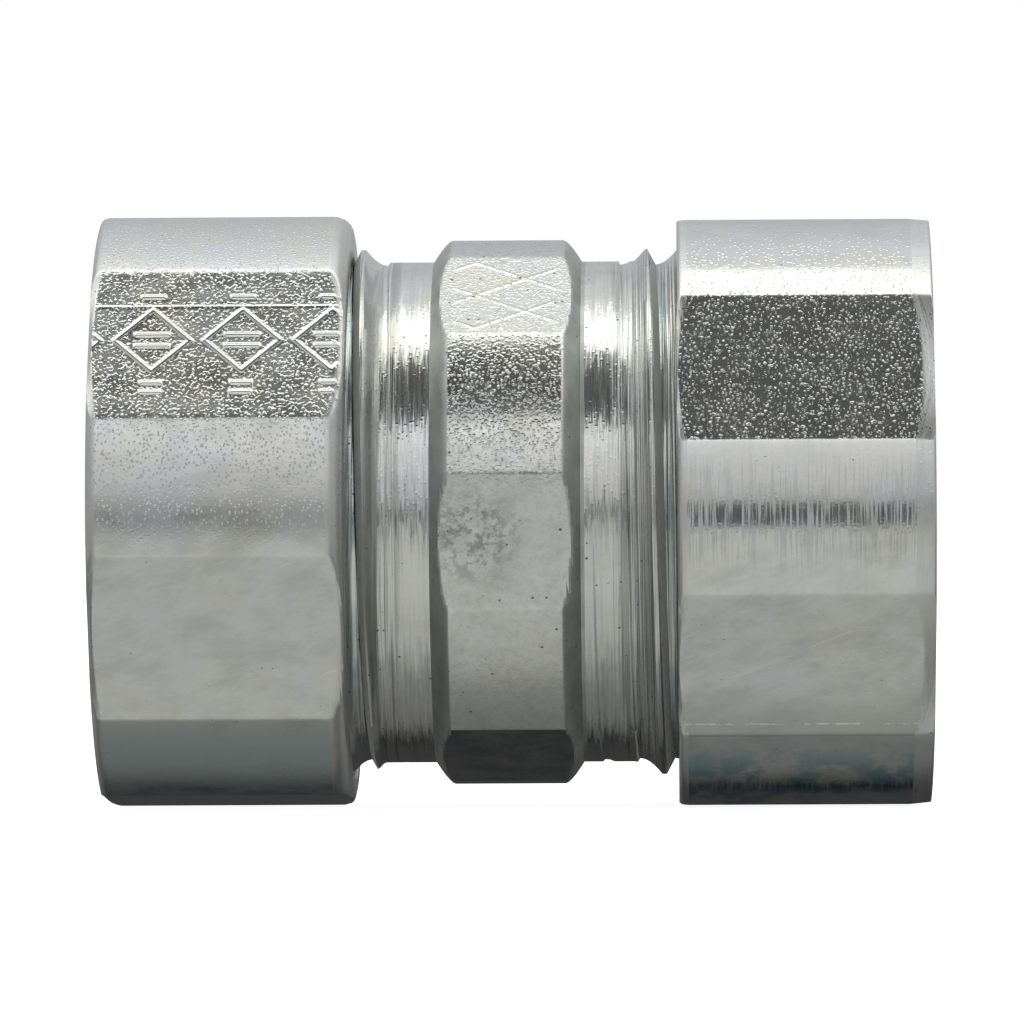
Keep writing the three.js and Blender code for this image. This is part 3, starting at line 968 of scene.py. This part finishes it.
def elastomer():
    """The sealing ring: matt moulded rubber with bloom and a fine grain."""
    finish = Finish("seal_rubber")
    bloom = finish.noise(finish.place, 0.9, 4, 0.6)
    grain = finish.noise(finish.place, 7.0, 2, 0.6)
    colour = finish.mix(finish.between(bloom, 0.4, 0.75), (0.018, 0.018, 0.02, 1), (0.055, 0.056, 0.06, 1))
    finish.set("Base Color", colour)
    finish.set("Roughness", finish.between(bloom, 0.3, 0.7, 0.5, 0.72))
    finish.bump(finish.sum(finish.times(grain, 0.014), finish.times(bloom, 0.01)))
    return finish.material


# ---- floor, light and camera -----------------------------------------------------------------------


def floor_mesh():
    """A plain disc in rings, which are closer together near its middle."""
    reach = 3.0
    rings = 6
    around = 96
    radii = reach * (np.arange(1, rings + 1) / rings) ** 2
    points = [(0.0, 0.0, 0.0)]
    points += [(r * math.cos(a), r * math.sin(a), 0.0) for r in radii for a in even_columns(around)]
    faces = [(0, 1 + i, 1 + (i + 1) % around) for i in range(around)]
    for ring in range(rings - 1):
        inner = 1 + ring * around
        for i in range(around):
            after = (i + 1) % around
            faces.append((inner + i, inner + around + i, inner + around + after, inner + after))
    mesh = bpy.data.meshes.new("floor")
    mesh.from_pydata(points, [], faces)
    return mesh


def floor_paper():
    finish = Finish("floor_paper")
    fibres = finish.noise(finish.place, 0.08, 3, 0.6)
    finish.set("Base Color", finish.mix(fibres, (0.68, 0.68, 0.675, 1), (0.7, 0.7, 0.7, 1)))
    finish.set("Roughness", 0.95)
    finish.set("Specular IOR Level", 0.0)
    finish.set("Emission Color", (1, 1, 1, 1))
    finish.set("Emission Strength", 0.88)
    return finish.material


def pale_floor():
    """The floor that the two nuts rest on."""
    floor = scene_object("floor", floor_mesh())
    floor.location.z = CAD_BOX[0].z - 0.01 * MM
    floor.visible_glossy = False
    floor.data.materials.append(floor_paper())


# Brightness of the studio round the object's long axis, as (degrees, brightness, tint). 0 degrees is towards
# the camera, 90 straight up and 180 behind. A softbox in front ends in a dark card some 40 degrees up, a
# brighter one hangs overhead, the wall behind is pale, and the floor gets darker from front to back. The
# camera and its stand are a thin dark band at 0.
NEUTRAL = (1, 1, 1)
BLUISH = (0.965, 0.985, 1.02)
SLATE = (0.90, 0.97, 1.06)
GREENISH = (0.985, 1.0, 0.955)
OLIVE = (1.0, 1.0, 0.94)
STUDIO = [
    (-180, 0.05, NEUTRAL),
    (-137, 0.045, NEUTRAL),
    (-133, 0.022, SLATE),
    (-129, 0.02, SLATE),
    (-124, 0.085, GREENISH),
    (-112, 0.18, GREENISH),
    (-95, 0.2, GREENISH),
    (-80, 0.26, GREENISH),
    (-62, 0.46, GREENISH),
    (-50, 0.48, GREENISH),
    (-35, 0.57, GREENISH),
    (-7, 0.57, GREENISH),
    (-5, 0.12, SLATE),
    (2, 0.12, SLATE),
    (4, 0.53, NEUTRAL),
    (22, 0.72, NEUTRAL),
    (30, 0.88, NEUTRAL),
    (39, 1.15, NEUTRAL),
    (42, 0.12, SLATE),
    (50, 0.08, SLATE),
    (57, 0.08, OLIVE),
    (62, 0.11, OLIVE),
    (74, 0.1, OLIVE),
    (79, 1.5, OLIVE),
    (90, 1.95, OLIVE),
    (103, 1.75, OLIVE),
    (106, 0.82, NEUTRAL),
    (120, 0.78, BLUISH),
    (143, 0.6, BLUISH),
    (165, 0.53, BLUISH),
    (180, 0.5, BLUISH),
]
# Brightness of the two ends of the studio, as (upwards part of the direction, brightness), and where along X
# they take over.
ENDS_LIGHT = [(-1.0, 0.1), (-0.6, 0.16), (0.2, 0.42), (0.55, 0.5), (0.78, 1.2), (1.0, 1.4)]
END_REACH = (0.22, 0.75)
BRIGHTEST = 2.0


def light_ramp(tree, share, stops):
    """A colour ramp through stops, each a place, a brightness and a tint."""
    made = add_node(tree, "ValToRGB", {0: share}, {})
    elements = made.color_ramp.elements
    while len(elements) < len(stops):
        elements.new(0.5)
    for element, (place, brightness, tint) in zip(elements, stops):
        element.position = place
        element.color = (*[brightness / BRIGHTEST * part for part in tint], 1)
    return made.outputs[0]


def studio_light():
    world = bpy.data.worlds.new("studio")
    bpy.context.scene.world = world
    world.use_nodes = True
    tree = world.node_tree
    tree.nodes.clear()

    def node(kind, *inputs, **settings):
        return add_node(tree, kind, dict(enumerate(inputs)), settings)

    x, y, z = node("SeparateXYZ", node("TexCoord").outputs["Generated"]).outputs
    towards_camera = node("Math", y, -1.0, operation="MULTIPLY").outputs[0]
    turn = node("Math", z, towards_camera, operation="ARCTAN2").outputs[0]
    turn_share = node("MapRange", turn, -math.pi, math.pi, 0.0, 1.0).outputs[0]
    round_stops = [((degrees + 180) / 360, brightness, tint) for degrees, brightness, tint in STUDIO]
    round_axis = light_ramp(tree, turn_share, round_stops)
    height_share = node("MapRange", z, -1.0, 1.0, 0.0, 1.0).outputs[0]
    end_stops = [((up + 1) / 2, brightness, NEUTRAL) for up, brightness in ENDS_LIGHT]
    at_ends = light_ramp(tree, height_share, end_stops)
    sideways = node("Math", x, operation="ABSOLUTE").outputs[0]
    to_end = node("MapRange", sideways, *END_REACH, 0.0, 1.0, interpolation_type="SMOOTHSTEP").outputs[0]
    mixing = {MIX_SHARE: to_end, MIX_A: round_axis, MIX_B: at_ends}
    mixed = add_node(tree, "Mix", mixing, {"data_type": "RGBA"}).outputs[MIX_RESULT]
    lit = node("Background", mixed, BRIGHTEST).outputs[0]
    seen = node("Background", (1, 1, 1, 1), 1.0).outputs[0]
    camera_ray = node("LightPath").outputs["Is Camera Ray"]
    either = node("MixShader", camera_ray, lit, seen).outputs[0]
    node("OutputWorld", either)


def camera():
    """A long lens level with the conduit axis, a little right of square on, and held a little askew."""
    distance = 0.38
    azimuth = math.radians(1.2)
    roll = math.radians(-0.3)
    field_width = 0.0463
    data = bpy.data.cameras.new("camera")
    data.sensor_width = 36
    data.lens = data.sensor_width * distance / field_width
    data.clip_start = 0.01
    data.clip_end = 10
    seen_from = scene_object("camera", data)
    aim = Vector((0.0001, 0, 0))
    away = Vector((math.sin(azimuth), -math.cos(azimuth), 0))
    seen_from.location = aim + away * distance
    seen_from.rotation_mode = "QUATERNION"
    seen_from.rotation_quaternion = (-away).to_track_quat("-Z", "Y") @ Quaternion((0, 0, 1), roll)
    bpy.context.scene.camera = seen_from


# ---- assembly --------------------------------------------------------------------------------------

turned_body = zinc(
    "body_turned", 0.18, specks=0.006, streaks=0.5, rough_lines=0.15, lines=0.003, rings=0.14, pits=1.2,
    stains_and_painted_light=[painted_groove_shade, blue_groove_stain],
)
hexagon_flats = zinc("body_hexagon", 0.2, grain=0.01, pits=1.5, stains_and_painted_light=[dull_mottle, smudge])
hexagon_corners = zinc(
    "body_corners", 0.17, grain=0.012, specks=0.014, speck_scale=4.6, pits=1.2, stains_and_painted_light=[dull_mottle]
)
matt_zinc = zinc("body_chamfer", 0.42, lines=0.003, stains_and_painted_light=[etched])
thread_flank = zinc("thread_flank", 0.8, lines=0.004)
bore = zinc("body_bore", 0.34, lines=0.012, streaks=0.1)
coupling_body([turned_body, hexagon_flats, bore, matt_zinc, hexagon_corners, thread_flank])

nut_turned = zinc("nut_turned", 0.3, specks=0.004, lines=0.009)
left_flats = zinc("left_nut_flats", 0.17, grain=0.015, grain_from=0.5, pits=0.6, stains_and_painted_light=[handled])
left_corners = zinc(
    "left_nut_corners", 0.24, grain=0.004, specks=0.02, speck_scale=6.0, pits=0.7,
    stains_and_painted_light=[handled, blue_green_underside],
)
raised_marks = zinc("left_nut_marks", 0.14, lines=0.001, pits=0.3)
# The right nut's flats carry painted shade and a painted highlight line low down.
right_flats = zinc(
    "right_nut_flats", 0.16, grain=0.011, grain_from=0.54, grain_scale=8.6, specks=0.008, speck_scale=5.4,
    pits=0.7, stains_and_painted_light=[handled, painted_low_shade_and_edge_highlight],
)
right_corners = zinc(
    "right_nut_corners", 0.1, specks=0.014, speck_scale=5.0, specks_from=5.0, streaks=0.02, rough_lines=0.3,
    lined_below=4.0, lines=0.0005, pits=0.8, stains_and_painted_light=[handled, blue_low_stain],
)
gland_nut("left", [nut_turned, left_flats, left_corners, raised_marks])
gland_nut("right", [nut_turned, right_flats, right_corners])

washer_finish = bright_steel()
seal_finish = elastomer()
ring_finish = dull_steel()
for side_name in ENDS:
    friction_washer(side_name, washer_finish)
    sealing_ring(side_name, seal_finish)
    gland_ring(side_name, ring_finish)

pale_floor()
studio_light()
camera()
bpy.context.scene.view_settings.view_transform = "Standard"
